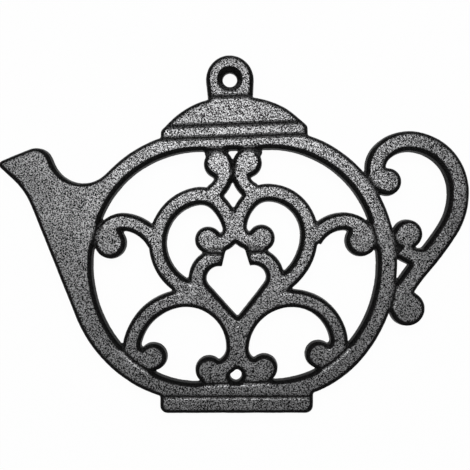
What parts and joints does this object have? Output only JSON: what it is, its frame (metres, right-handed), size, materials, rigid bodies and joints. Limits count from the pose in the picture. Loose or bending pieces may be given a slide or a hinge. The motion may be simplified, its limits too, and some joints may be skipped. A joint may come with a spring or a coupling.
{
  "type": "teapot trivet",
  "caption": "Flat openwork cast iron trivet in the outline of a teapot, with scrollwork, a hanging hole in its finial and push-on rubber foot caps.",
  "frame": {"origin": "middle of the bounding box in plan, on the plane that the foot caps stand on", "axes": "+Z out of the decorated face, +X from the spout towards the handle, +Y from the foot towards the finial"},
  "size_m": [0.2017, 0.1536, 0.0185],
  "materials": {
    "iron": "dark grey cast iron, sand-cast grain, worn grey on the face",
    "rubber": "matte black rubber"
  },
  "bodies": {
    "casting": {"trivet_casting": "iron"},
    "cap_spout": {"foot_cap_spout": "rubber"},
    "cap_lid": {"foot_cap_lid": "rubber"},
    "cap_handle": {"foot_cap_handle": "rubber"},
    "cap_base_left": {"foot_cap_base_left": "rubber"},
    "cap_base_right": {"foot_cap_base_right": "rubber"}
  },
  "joints": [
    {"name": "cap_spout_pull", "type": "slide", "parent": "casting", "child": "cap_spout", "axis": [0, 0, -1], "range_m": [0, 0.012]},
    {"name": "cap_lid_pull", "type": "slide", "parent": "casting", "child": "cap_lid", "axis": [0, 0, -1], "range_m": [0, 0.012]},
    {"name": "cap_handle_pull", "type": "slide", "parent": "casting", "child": "cap_handle", "axis": [0, 0, -1], "range_m": [0, 0.012]},
    {"name": "cap_base_left_pull", "type": "slide", "parent": "casting", "child": "cap_base_left", "axis": [0, 0, -1], "range_m": [0, 0.012]},
    {"name": "cap_base_right_pull", "type": "slide", "parent": "casting", "child": "cap_base_right", "axis": [0, 0, -1], "range_m": [0, 0.012]}
  ]
}
